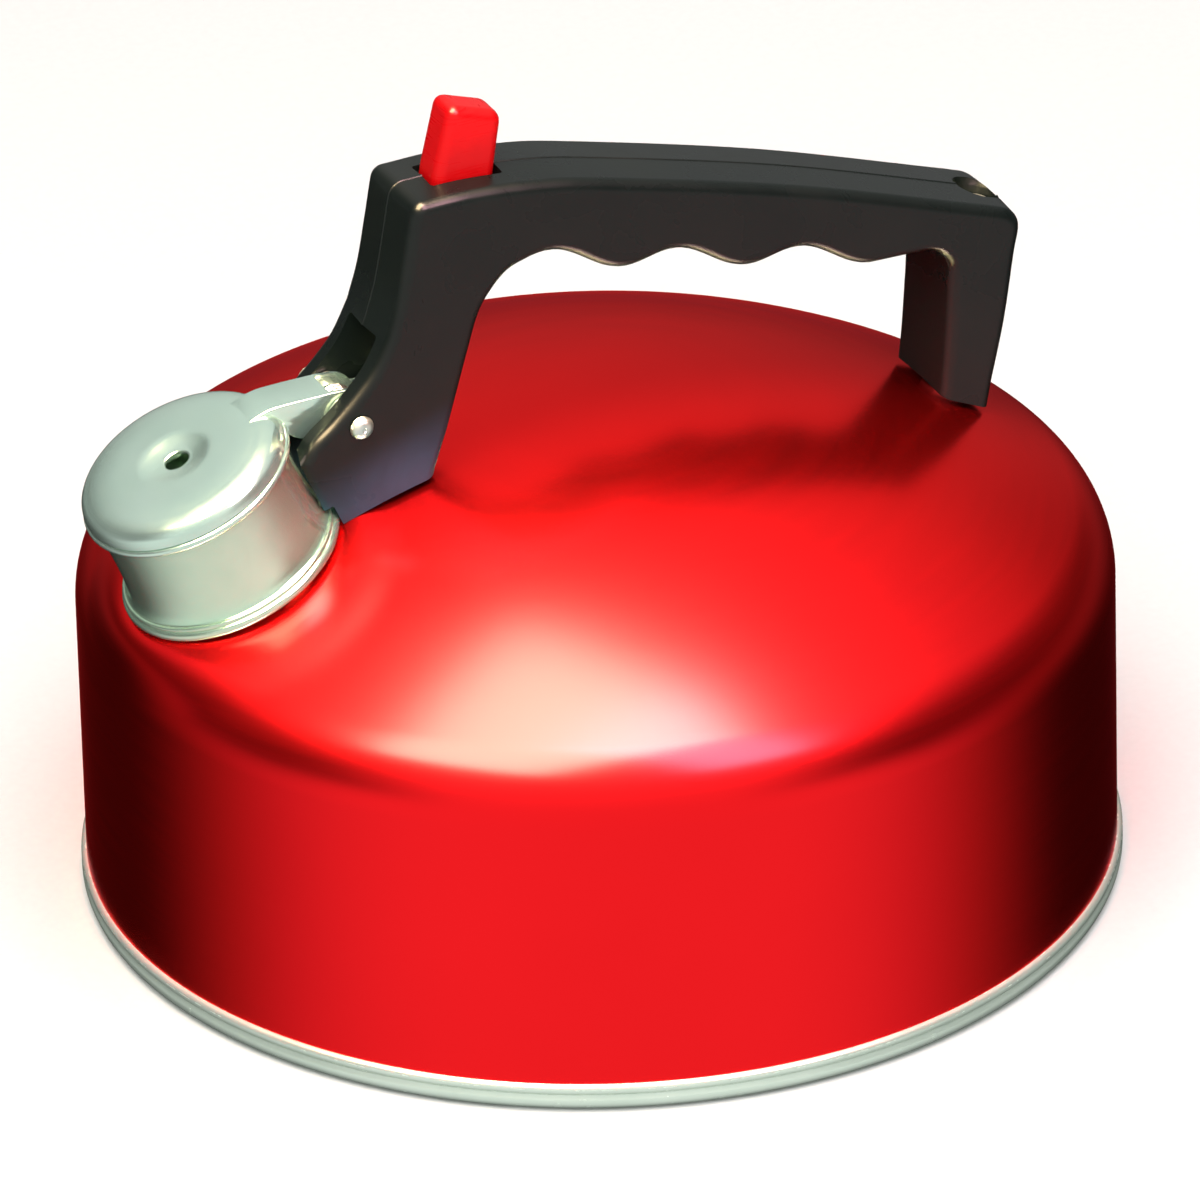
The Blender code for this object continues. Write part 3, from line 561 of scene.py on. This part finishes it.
# The whistle cap: a domed cup with a dimple, whose arm forks round the pivot and ends in a rolled tail

hinge = next(j for j in frame["record"]["behaviour"]["joints"] if j["name"] == "cap_hinge")
pivot = Vector(hinge["pos_m"]) / mm
capSizes = {
    "turns": 160, "hole": 2.5, "armHalf": 4.4, "armSheet": 0.9, "fold": 1.0, "forkFold": 0.5,
    "tail": 13.0, "lip": 2.2, "lipFold": 0.3, "swing": 32.0, "slideLean": 10.0, "pinHole": 1.8,
}


def capLine():
    hole = capSizes["hole"]
    dimple = smoothLine([(hole + 0.15, 25.02), (3.6, 25.12), (5.2, 25.5), (7.0, 25.98), (9.0, 26.0)], 4)
    top = smoothLine([(9.0, 26.0), (13.5, 25.85), (16.8, 25.4), (18.9, 24.6), (20.1, 23.4), (20.55, 22.2)], 5)
    skirt = [(20.62, 21.45), (20.3, 21.3), (20.22, 21.1)] + arcPoints((20.3, 20.42), 0.75, 80, -90, 9)
    inner = [(20.0, 19.75), (19.95, 21.4), (19.4, 22.6), (17.2, 23.8), (13.8, 24.6), (9.4, 25.15), (6.8, 25.1)]
    return [(hole, 24.9)] + dimple + top[1:] + skirt + inner + [(4.8, 24.6), (hole, 24.3)]


def tailTip():
    lift = math.radians(capSizes["swing"] / 2 - capSizes["slideLean"])
    return pivot.x + capSizes["tail"] * math.cos(lift), pivot.z + capSizes["tail"] * math.sin(lift)


def armLine():
    x, z = pivot.x, pivot.z
    tip = tailTip()
    top = smoothLine([(-75.0, 110.9), (-71.5, 113.0), (-68.0, 114.2), (-64.0, 114.5), (-55.2, 114.6)], 5)
    over = arcPoints((x, z), 4.9, 84, 28, 6)
    tail = [(tip[0] - 3.0, tip[1] + 1.0)] + arcPoints(tip, 1.3, 90, -90, 8) + [(tip[0] - 3.0, tip[1] - 1.6)]
    under = arcPoints((x, z), 4.9, -20, -110, 8)
    front = smoothLine([(-58.5, 105.9), (-61.5, 106.4), (-64.2, 107.9), (-65.3, 110.2), (-66.0, 111.4)], 3)
    return top + over + tail + under + front + [(-70.0, 110.6)]


def capArm():
    half, sheet = capSizes["armHalf"], capSizes["armSheet"]
    arm = prismPiece("arm", armLine(), -half, half, capSteel)
    settle(roundEdges(arm, capSizes["fold"], 4, 75))
    fork = [(-78.0, 95.0), (-78.0, 108.5), (-72.0, 111.6), (-68.0, 113.2), (-62.0, 113.6), (-55.6, 113.7)]
    fork += [(-55.6, 120.0), (-30.0, 120.0), (-30.0, 95.0)]
    room = prismPiece("cutFork", fork, sheet - half, half - sheet, capSteel)
    settle(roundEdges(room, capSizes["forkFold"], 3))
    combine(arm, [room])
    tip = tailTip()
    width = half - sheet / 2
    lip = plainRod("joinLip", capSizes["lip"], -width, width, layAt(Vector((tip[0], 0, tip[1]))), capSteel, 36)
    settle(roundEdges(lip, capSizes["lipFold"], 2))
    return combine(arm, [lip], "UNION")


whistleCap = turnedPiece(
    "whistleCap", capLine(), capSizes["turns"], capSteel, spoutPlace["foot"], (0, -spoutPlace["lean"], 0)
)
combine(whistleCap, [capArm()], "UNION")
combine(whistleCap, [plainRod("cutPin", capSizes["pinHole"], -8, 8, layAt(pivot), capSteel, 32)])
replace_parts(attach(whistleCap, "cap"), "whistle_cap")


# The whistle's second plate: a shallow cup with a hole, held inside the cap

plateTurns = 120
plateLine = smoothLine([(2.4, 18.2), (9.0, 18.3), (15.0, 18.2), (16.2, 18.9), (16.8, 20.4), (17.3, 23.1)], 4)
plateLine += smoothLine([(16.7, 23.2), (16.2, 20.6), (15.7, 19.4), (14.9, 18.9), (9.0, 19.0), (2.4, 18.9)], 4)
whistlePlate = turnedPiece(
    "whistlePlate", plateLine, plateTurns, spoutSteel, spoutPlace["foot"], (0, -spoutPlace["lean"], 0)
)
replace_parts(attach(whistlePlate, "cap"), "whistle_plate")
print("whistle cap pressed")


# The handle: a grip, a rear leg and a hollow front leg, crowned along the middle, where the mould parted

handleSizes = {
    "half": 10.5, "edge": 2.2, "edgeSteps": 6, "crown": 0.55, "crownEase": (12, 6),
    "seam": (0.34, 0.16),  # half width and height of the mould line
    "footLift": 1.2, "scallopPitch": 25.8, "scallopDepth": 1.9, "scallopStart": -10.9,
    "slotHalf": 5.9, "slotRoof": 125.0, "slotEdge": 0.6, "slideLean": 10.0, "buttonFoot": (-26.4, 0.0, 152.9),
    "buttonSkirt": 4.5, "buttonTravel": 7.17, "pocketRoom": 0.8, "pocketEdge": 0.7,
    "screwFoot": (75.0, 0.0, 81.8), "screwLean": 10.0, "screwSeat": 35.5, "recess": 4.8,
}
slideFrame = standAt(Vector(handleSizes["buttonFoot"]), handleSizes["slideLean"])
screwFrame = standAt(Vector(handleSizes["screwFoot"]), handleSizes["screwLean"])


def gripUnderside(x):
    # a falling straight line with finger hollows in it
    line = 134.55 - 0.228 * (x + 13.0)
    wave = 2 * math.pi * (x - handleSizes["scallopStart"]) / handleSizes["scallopPitch"]
    return line + handleSizes["scallopDepth"] * math.cos(wave)


def handleLines():
    # the outside line, from the front slot's nose over the top to the rear foot, then the inside line back
    nose = [(-64.7, 103.8), (-61.9, 107.9), (-57.6, 111.5), (-53.0, 116), (-49.4, 120.2), (-46.2, 126.2)]
    front = [(-46.2, 126.2), (-43.9, 133.5), (-42.0, 142.8), (-40.6, 150.3)]
    corner = arcPoints((-37.4, 149.75), 3.2, 168, 96, 7)
    top = [(-37.1, 152.95), (-27, 153.0), (-14, 151.7), (0, 148.8), (40, 137.6), (80.5, 123.6)]
    rear = [(80.5, 123.6), (84.8, 121.7), (87.0, 118.2), (85.9, 111.6), (83.7, 98.1), (80.4, 84), (78, 74)]
    outside = smoothLine(nose, 4) + smoothLine(front, 5)[1:-1] + corner
    outside += smoothLine(top, 8) + smoothLine(rear, 5)[1:]
    leg = smoothLine([(68.3, 76), (69.7, 87), (70.4, 94), (71.2, 104)], 3)
    leg += arcPoints((66.1, 111.5), 5.5, 0, 90, 8)
    grip = [(x, gripUnderside(x)) for x in (56.0 - 1.5 * k for k in range(49))]
    web = [grip[-1], (-20.7, 134.2), (-24.4, 130.6), (-26.9, 126.6), (-29.1, 120), (-34, 104)]
    inside = leg + grip + smoothLine(web, 5)[1:] + [(-36.7, 96.5), (-40.5, 82), (-57.1, 82)]
    return outside, inside


def insetLine(points, distance):
    # a closed outline moved into its own shape, corners mitred
    area = sum(a[0] * b[1] - b[0] * a[1] for a, b in zip(points, points[1:] + points[:1]))
    turn = 1 if area > 0 else -1
    moved = []
    for before, here, after in zip(points[-1:] + points[:-1], points, points[1:] + points[:1]):
        a, b, c = Vector(before), Vector(here), Vector(after)
        first, second = (b - a).normalized(), (c - b).normalized()
        into = Vector((-first.y, first.x)) * turn
        on = Vector((-second.y, second.x)) * turn
        mitre = (into + on) / max(1 + into.dot(on), meshCare["mitreLimit"])
        moved.append(tuple(b + mitre * distance))
    return moved


def crownedPrism():
    # the outline carried across the width: long edges rounded, the outside line proud along the middle
    outside, inside = handleLines()
    outline = outside + inside
    count, last = len(outline), len(outside) - 1
    half, edge, crown, steps = (handleSizes[key] for key in ("half", "edge", "crown", "edgeSteps"))
    rows = []
    for k in range(steps + 1):
        angle = math.radians(90 * k / steps)
        rows.append((half - edge + edge * math.cos(angle), edge * (1 - math.sin(angle))))
    wide, proud = handleSizes["seam"]
    rows += [(wide, 0.0), (wide / 2, -proud), (-wide / 2, -proud), (-wide, 0.0)]
    rows += [(-y, inset) for y, inset in rows[steps::-1]]
    points = []
    easeIn, easeOut = handleSizes["crownEase"]  # the crown fades out over this many points at each end
    for y, inset in rows:
        sink = crown * abs(y) / half
        inner = insetLine(outline, max(inset, 0.0))  # the mould line runs along the outside only
        for k, (x, z) in enumerate(insetLine(outline, inset)[:last + 1] + inner[last + 1:]):
            if k <= last:
                run = (Vector(outline[k + 1]) - Vector(outline[k - 1])).normalized()
                ease = min(1.0, k / easeIn, (last - k) / easeOut)
                x, z = x + run.y * sink * ease, z - run.x * sink * ease
            points.append((x, y, z))
    faces = []
    for row in range(0, count * (len(rows) - 1), count):
        faces += [
            (row + k, row + (k + 1) % count, row + (k + 1) % count + count, row + k + count) for k in range(count)
        ]
    faces += [tuple(range(count)), tuple(range(count * (len(rows) - 1), count * len(rows)))]
    piece = newPiece("mouldedHandle", points, faces, phenolic)
    cleanMesh(piece.data)
    return piece


def boxPiece(name, size, centre, place):
    # a block for cuts, by its size and centre
    (a, b, c), (x, y, z) = size, centre
    outline = [(x - a / 2, z - c / 2), (x + a / 2, z - c / 2), (x + a / 2, z + c / 2), (x - a / 2, z + c / 2)]
    return prismPiece(name, outline, y - b / 2, y + b / 2, phenolic, place)


def handleTools():
    # what is cut from the handle: the arm's slot, the button's pocket, and room for spout, boss, screw, pin and dome
    s = handleSizes
    slot = [(-80, 78), (-80, s["slotRoof"]), (-42.4, s["slotRoof"]), (-40.5, 134.8), (-28.0, 134.8), (-28.6, 130)]
    slot += [(-30.0, 125.0), (-31.9, 120), (-34.9, 110.5), (-37.0, 103.5), (-39.4, 97), (-42.5, 78)]
    tools = [roundEdges(prismPiece("cutSlot", slot, -s["slotHalf"], s["slotHalf"], phenolic), s["slotEdge"], 3)]
    floor = -s["buttonSkirt"] - s["buttonTravel"] - s["pocketRoom"]
    pocket = boxPiece("cutPocket", (14.6, 9.2, 14 - floor), (0.2, 0, (14 + floor) / 2), slideFrame)
    tools.append(roundEdges(pocket, s["pocketEdge"], 3))
    tools.append(boxPiece("cutChannel", (3.0, 7.0, 24), (0, 0, floor - 8), slideFrame))
    rods = {
        "cutTube": (20.7, 3, 40, spoutFrame, 96), "cutFlange": (22.6, -9, 3.4, spoutFrame, 96),
        "cutBoss": (4.8, -9, 12.3, screwFrame, 48), "cutShank": (2.4, 5, 40, screwFrame, 48),
        "cutRecess": (s["recess"], s["screwSeat"], 60, screwFrame, 64),
        "cutPin": (capSizes["pinHole"], -14, 14, layAt(pivot), 48),
    }  # radius, low end, high end, frame and turns
    for name, (radius, low, high, place, turns) in rods.items():
        tools.append(plainRod(name, radius, low, high, place, phenolic, turns))
    domeLine = [(r, z + s["footLift"]) for r, z in outerLine[:len(outerLine) - bodySizes["wallSteps"]]]
    tools.append(turnedPiece("cutFeet", domeLine + [(domeLine[-1][0], 40.0), (0.0, 40.0)], 200, phenolic))
    for tool in tools:
        if tool.modifiers:
            settle(tool)
    return tools


handle = combine(crownedPrism(), handleTools())
settle(handle, weighted=True)
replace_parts(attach(handle, "kettle"), "handle")
print("handle moulded", len(handle.data.polygons))


# The push button: a tapered block whose top slopes to the rear, square to its travel

buttonSizes = {"half": 4.35, "edge": 2.2, "edgeAngle": 30, "skirt": handleSizes["buttonSkirt"]}
buttonLine = [(-6.3, -buttonSizes["skirt"]), (6.3, -buttonSizes["skirt"]), (6.3, 0.0), (6.15, 12.5), (-5.2, 14.3)]
buttonLine += [(-6.3, 0.0)]
button = roundEdges(
    prismPiece("pushButton", buttonLine, -buttonSizes["half"], buttonSizes["half"], buttonRed, slideFrame),
    buttonSizes["edge"], 5, buttonSizes["edgeAngle"],
)
settle(button, weighted=True)
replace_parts(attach(button, "trigger"), "trigger_button")
print("button moulded")


# The pivot's rivet, and the small steel pieces that keep the CAD model's own shapes

rivetSizes = {"shank": 1.5, "head": 2.35, "half": 10.8, "turns": 48}


def rivetLine():
    s = rivetSizes
    half, shank = s["half"], s["shank"]
    head = [(0.0, -half - 1.28), (0.35, -half - 1.3), (0.5, -half - 1.42)]
    face = [(0.5, -half - 1.42), (1.3, -half - 1.25), (2.0, -half - 0.75), (s["head"], -half - 0.05)]
    head += smoothLine(face, 4)[1:]
    tail = [(shank, half + 0.9), (2.3, half + 0.9), (2.25, half + 1.3), (1.8, half + 1.6), (0.9, half + 1.75)]
    return head + [(s["head"] - 0.1, -half), (shank, -half)] + tail + [(0.0, half + 1.7)]


pivotRivet = turnedPiece("pivotRivet", rivetLine(), rivetSizes["turns"], zinc, pivot, (-90, 0, 0))
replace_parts(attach(pivotRivet, "kettle"), "pivot_rivet")

plated = ("front_bracket", "bracket_rivet_front", "bracket_rivet_rear", "pivot_washer", "pivot_bush", "rear_boss",
          "rear_screw", "rear_washer", "push_rod")
for name in plated:
    frame["nodes"][name].data.materials[0] = zinc
frame["nodes"]["cap_spring"].data.materials[0] = springSteel
print("small steel finished")


# The studio: a pale floor, a soft glow with dark wings, two tinted softboxes for gloss, a white one for matt surfaces

studio = {
    "turn": -25.0, "elevation": 28.5, "roll": 1.5, "distance": 2802.0, "aim": 60.0, "across": -0.93, "up": 5.02,
    "lens": 441.7, "sensor": 36.0, "floorReach": 3.0, "floorDrop": 0.0002, "lampAim": 0.07,
}


def makeFloor():
    reach = studio["floorReach"]
    floor = bpy.data.meshes.new("floor")
    corners = [(-reach, -reach, 0), (reach, -reach, 0), (reach, reach, 0), (-reach, reach, 0)]
    floor.from_pydata(corners, [], [(0, 1, 2, 3)])
    finish, tree, shader = newFinish("pale matt paper")
    setShader(shader, Roughness=0.9)
    spot = addNode(tree, "ShaderNodeTexCoord").outputs["Object"]
    fibre = addNode(tree, "ShaderNodeTexNoise", {"Vector": spot, "Scale": 500.0, "Detail": 2.0})  # 2 mm fibre
    tint = addNode(tree, "ShaderNodeMix", {
        "Factor": fibre.outputs[0], "A": sRgb("#DADBDB"), "B": sRgb("#E0E1E1"),
    }, data_type="RGBA")
    tree.links.new(tint.outputs["Result"], shader.inputs["Base Color"])
    floor.materials.append(finish)
    piece = bpy.data.objects.new("floor", floor)
    piece.location.z = -studio["floorDrop"]
    bpy.context.scene.collection.objects.link(piece)
    piece.visible_glossy = False  # the floor neither shows in the kettle nor lights it
    piece.visible_diffuse = False


# each ramp reads a direction's share ahead or up, from one share to another, and gives a brightness or a weight
glow = {
    "low": (-0.5, 0.72, 0.01, 0.93),  # what is below: dark behind, bright ahead
    "high": (-0.3, 0.9, 0.24, 0.72),  # what is above: brighter upwards
    "fore": (0.1, 0.7, 0.0, 0.9),  # and bright ahead
    "climb": (-0.42, 0.1, 0.0, 1.0),  # from the one to the other
    "spread": (-0.45, -0.9, 1.0, 1.5),  # the dark wings close in behind
    "above": (-0.2, 0.15, 0.0, 0.8),  # and stand between these two heights
    "under": (0.95, 0.4, 0.0, 1.0),
    "wing": (0.45, 0.9),  # how far to the side they start, and where they are full
}


def makeGlow():
    world = bpy.data.worlds.new("studio")
    world.use_nodes = True
    bpy.context.scene.world = world
    tree = world.node_tree
    turn = math.radians(studio["turn"])
    front = (math.sin(turn), -math.cos(turn), 0.0)
    aside = (math.cos(turn), math.sin(turn), 0.0)
    way = addNode(tree, "ShaderNodeTexCoord").outputs["Generated"]
    ahead = addNode(tree, "ShaderNodeVectorMath", {0: way, 1: front}, operation="DOT_PRODUCT").outputs["Value"]
    side = addNode(tree, "ShaderNodeVectorMath", {0: way, 1: aside}, operation="DOT_PRODUCT").outputs["Value"]
    up = addNode(tree, "ShaderNodeSeparateXYZ", {0: way}).outputs[2]
    reads = {"low": ahead, "high": up, "fore": ahead, "climb": up, "spread": ahead, "above": up, "under": up}
    ramps = {}
    for name, value in reads.items():
        start, stop, least, most = glow[name]
        ramps[name] = addNode(tree, "ShaderNodeMapRange", {
            "Value": value, "From Min": start, "From Max": stop, "To Min": least, "To Max": most,
        }, interpolation_type="SMOOTHSTEP").outputs[0]
    high = addNode(tree, "ShaderNodeMath", {0: ramps["high"], 1: ramps["fore"]}, operation="MAXIMUM").outputs[0]
    both = addNode(tree, "ShaderNodeMix", {
        "Factor": ramps["climb"], "A": ramps["low"], "B": high,
    }, data_type="FLOAT").outputs[0]
    wing = addNode(tree, "ShaderNodeMath", {0: side}, operation="ABSOLUTE").outputs[0]
    wing = addNode(tree, "ShaderNodeMath", {0: wing, 1: ramps["spread"]}, operation="MULTIPLY").outputs[0]
    wing = addNode(tree, "ShaderNodeMapRange", {
        "Value": wing, "From Min": glow["wing"][0], "From Max": glow["wing"][1],
    }, interpolation_type="SMOOTHSTEP").outputs[0]
    between = addNode(tree, "ShaderNodeMath", {0: ramps["above"], 1: ramps["under"]}, operation="MULTIPLY").outputs[0]
    dark = addNode(tree, "ShaderNodeMath", {0: wing, 1: between}, operation="MULTIPLY").outputs[0]
    left = addNode(tree, "ShaderNodeMath", {0: 1.0, 1: dark}, operation="SUBTRACT").outputs[0]
    lit = addNode(tree, "ShaderNodeMath", {0: both, 1: left}, operation="MULTIPLY").outputs[0]
    tree.links.new(lit, tree.nodes["Background"].inputs["Strength"])
    tree.nodes["Background"].inputs["Color"].default_value = (1.0, 1.0, 1.0, 1.0)


# a gloss lamp shows only in reflections; the other one only shades matt surfaces
softboxes = {
    "creamSoftbox": {
        "place": (-0.2, -0.28, 1.08), "size": (0.66, 1.05), "power": 168, "colour": "#FFE0AC", "gloss": True,
    },
    "pinkSoftbox": {
        "place": (0.30, -0.40, 1.05), "size": (0.42, 1.0), "power": 50, "colour": "#FFC4CE", "gloss": True,
    },
    "mattSoftbox": {
        "place": (0.0, -0.45, 1.05), "size": (1.1, 1.2), "power": 16, "colour": "#FFFFFF", "gloss": False,
    },
}


def makeSoftbox(name, place, size, power, colour, gloss):
    light = bpy.data.lights.new(name, "AREA")
    light.shape = "RECTANGLE"
    light.size, light.size_y = size
    light.energy = power
    light.color = sRgb(colour)[:3]
    lamp = bpy.data.objects.new(name, light)
    bpy.context.scene.collection.objects.link(lamp)
    turned = Matrix.Rotation(math.radians(studio["turn"]), 4, "Z")
    aim = (Vector(place) - Vector((0, 0, studio["lampAim"]))).to_track_quat("Z", "Y").to_matrix().to_4x4()
    lamp.matrix_world = turned @ Matrix.Translation(place) @ aim
    lamp.visible_diffuse = not gloss
    lamp.visible_glossy = gloss
    lamp.visible_camera = False


def makeCamera():
    s = studio
    lift, roll = math.radians(s["elevation"]), math.radians(s["roll"])
    right = Vector((math.cos(roll), -math.sin(lift) * math.sin(roll), -math.cos(lift) * math.sin(roll)))
    upward = Vector((math.sin(roll), math.sin(lift) * math.cos(roll), math.cos(lift) * math.cos(roll)))
    ahead = Vector((0, math.cos(lift), -math.sin(lift)))
    eye = Vector((0, 0, s["aim"])) - s["across"] * right - s["up"] * upward - s["distance"] * ahead
    facing = Matrix((right, upward, -ahead)).transposed().to_4x4()
    facing.translation = eye * mm
    lens = bpy.data.cameras.new("camera")
    lens.lens, lens.sensor_width = s["lens"], s["sensor"]
    camera = bpy.data.objects.new("camera", lens)
    bpy.context.scene.collection.objects.link(camera)
    camera.matrix_world = Matrix.Rotation(math.radians(s["turn"]), 4, "Z") @ facing
    bpy.context.scene.camera = camera


makeFloor()
makeGlow()
for name, looks in softboxes.items():
    makeSoftbox(name, **looks)
makeCamera()
bpy.context.scene.view_settings.view_transform = "Standard"
print("studio lit")
